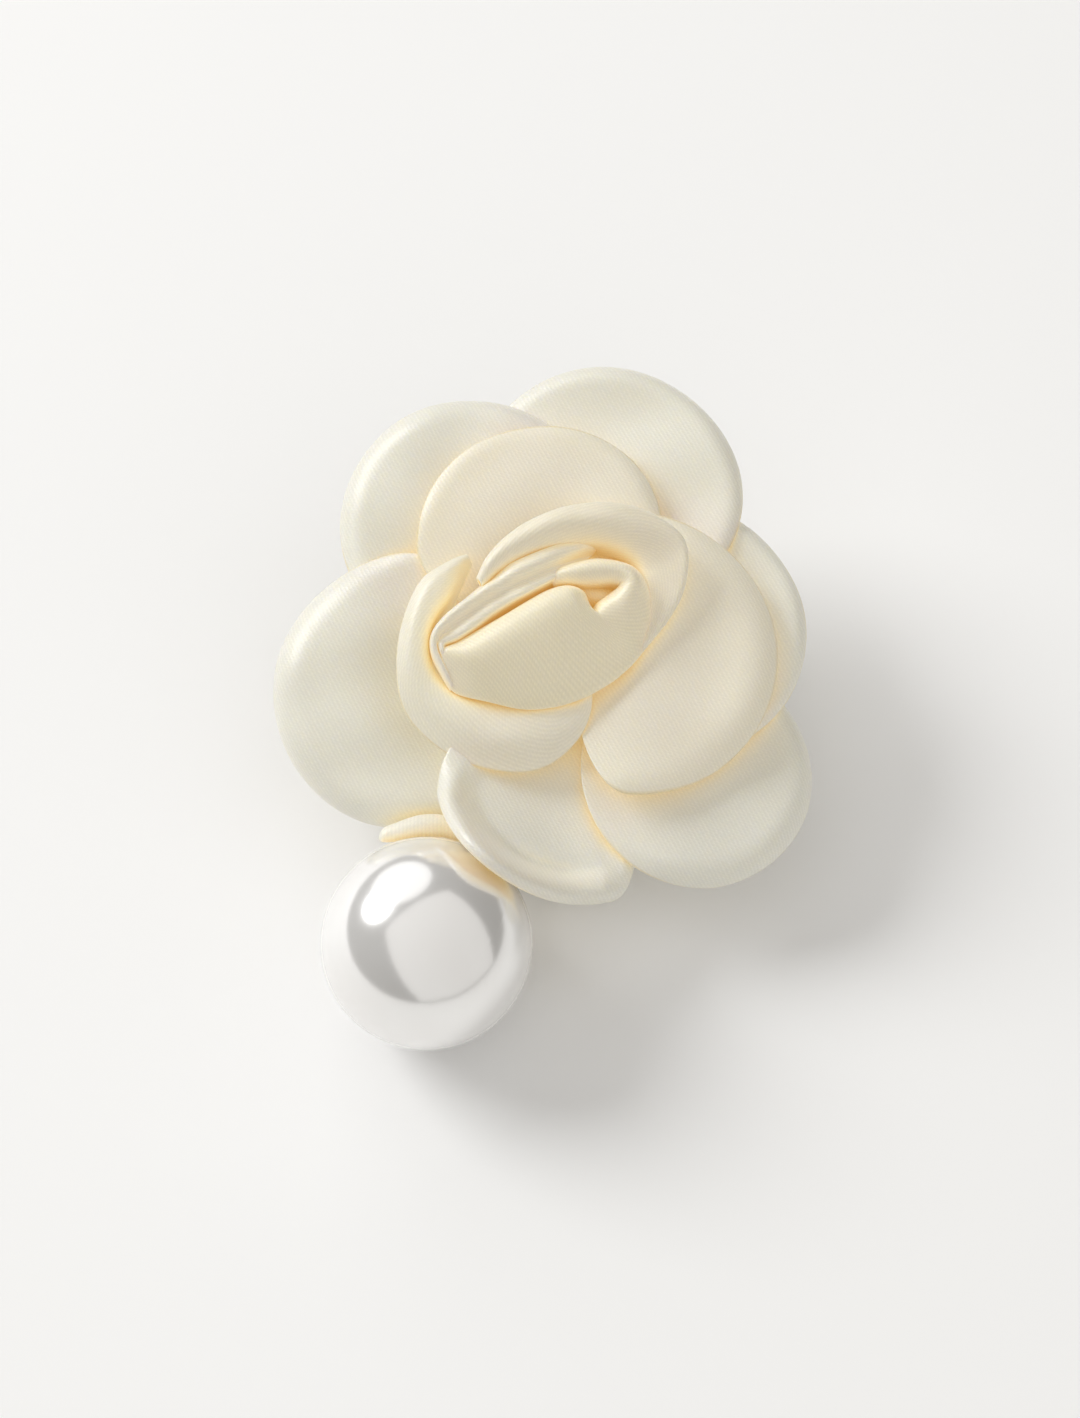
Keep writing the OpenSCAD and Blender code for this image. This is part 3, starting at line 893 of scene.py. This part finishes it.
def table_top():
    """A plain pale table top."""
    bpy.ops.mesh.primitive_plane_add(size=4, location=(0, 0, 0))
    table = bpy.context.object
    table.name = "table"
    material, nodes, _ = new_material("table_white")
    shader = nodes["Principled BSDF"]
    shader.inputs["Base Color"].default_value = (0.93, 0.93, 0.925, 1)
    shader.inputs["Roughness"].default_value = 0.7
    shader.inputs["Specular IOR Level"].default_value = 0.2
    table.data.materials.append(material)


def area_light(name, place, target, size, power, colour=(1, 1, 1)):
    """A round soft light at place, in metres, that faces target."""
    data = bpy.data.lights.new(name, "AREA")
    data.shape = "DISK"
    data.size = size
    data.energy = power
    data.color = colour
    light = bpy.data.objects.new(name, data)
    light.location = place
    light.rotation_euler = (Vector(target) - Vector(place)).to_track_quat("-Z", "Y").to_euler()
    bpy.context.scene.collection.objects.link(light)
    return light


def towards(azimuth, elevation, distance):
    """The point at a distance from the origin; azimuth 0 is +X, 90 is +Y."""
    azimuth, elevation = radians(azimuth), radians(elevation)
    return Vector((cos(elevation) * cos(azimuth), cos(elevation) * sin(azimuth),
                   sin(elevation))) * distance


def studio_lights():
    """A key light from behind on the left, a weaker one behind, and a wide panel overhead."""
    flower = (0, 0, 5 * MM)
    area_light("key", towards(154, 36, 1.2), flower, size=0.66, power=9.1,
               colour=(0.99, 0.995, 1.0))
    area_light("back", towards(118, 36, 1.2), flower, size=1.2, power=3.4)
    panel = area_light("panel", (0.24, -0.36, 0.66), (0, 0, 0), size=2.1, power=8.2,
                       colour=(1.0, 0.99, 0.975))
    panel.data.shape = "RECTANGLE"
    panel.data.size_y = 2.2


def studio_world():
    """Faint warm light from all round, and colours shown as they are."""
    world = bpy.data.worlds.new("studio")
    world.use_nodes = True
    background = world.node_tree.nodes["Background"]
    background.inputs["Color"].default_value = (1, 0.95, 0.87, 1)
    background.inputs["Strength"].default_value = 0.18
    bpy.context.scene.world = world
    bpy.context.scene.view_settings.view_transform = "Standard"


def photograph_camera():
    """A camera in front of the flower, at the photograph's angle above the table."""
    elevation = radians(61)
    distance = 0.198
    target = Vector((0.15, 1.1, 0)) * MM
    data = bpy.data.cameras.new("camera")
    data.lens = 63.5
    data.sensor_width = 36
    data.clip_start = 0.01
    camera = bpy.data.objects.new("camera", data)
    camera.location = target + distance * Vector((0, -cos(elevation), sin(elevation)))
    camera.rotation_euler = (pi / 2 - elevation, 0, 0)
    bpy.context.scene.collection.objects.link(camera)
    bpy.context.scene.camera = camera


table_top()
studio_lights()
studio_world()
photograph_camera()
